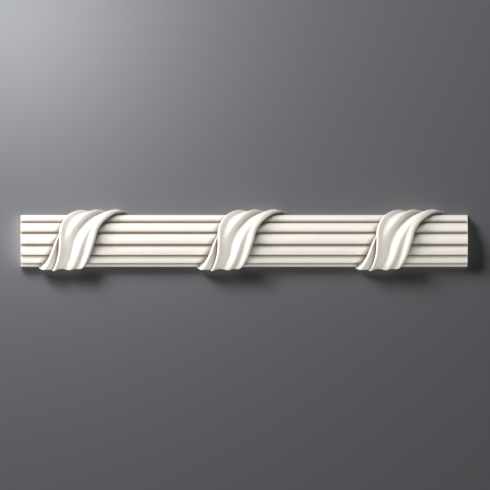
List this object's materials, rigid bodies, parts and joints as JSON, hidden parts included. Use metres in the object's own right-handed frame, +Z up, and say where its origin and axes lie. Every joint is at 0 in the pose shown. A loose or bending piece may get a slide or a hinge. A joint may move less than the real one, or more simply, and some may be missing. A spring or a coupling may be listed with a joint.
{
  "type": "decorative moulding",
  "caption": "Straight cast plaster wall moulding: a half-round band of reeds on a flat back, bound at an even pitch by draped ribbons that cross it on the slant.",
  "frame": {"origin": "middle of the flat back, half way along the length and half way up the band", "axes": "+X along the length, +Z up the wall, +Y into the wall; the reeds and ribbons face -Y"},
  "size_m": [0.685, 0.0428, 0.0942],
  "materials": {
    "painted_plaster": "cast gypsum plaster with a smooth warm off-white satin paint"
  },
  "bodies": {
    "root": {"ribbon_reed_moulding": "painted_plaster"}
  },
  "joints": []
}
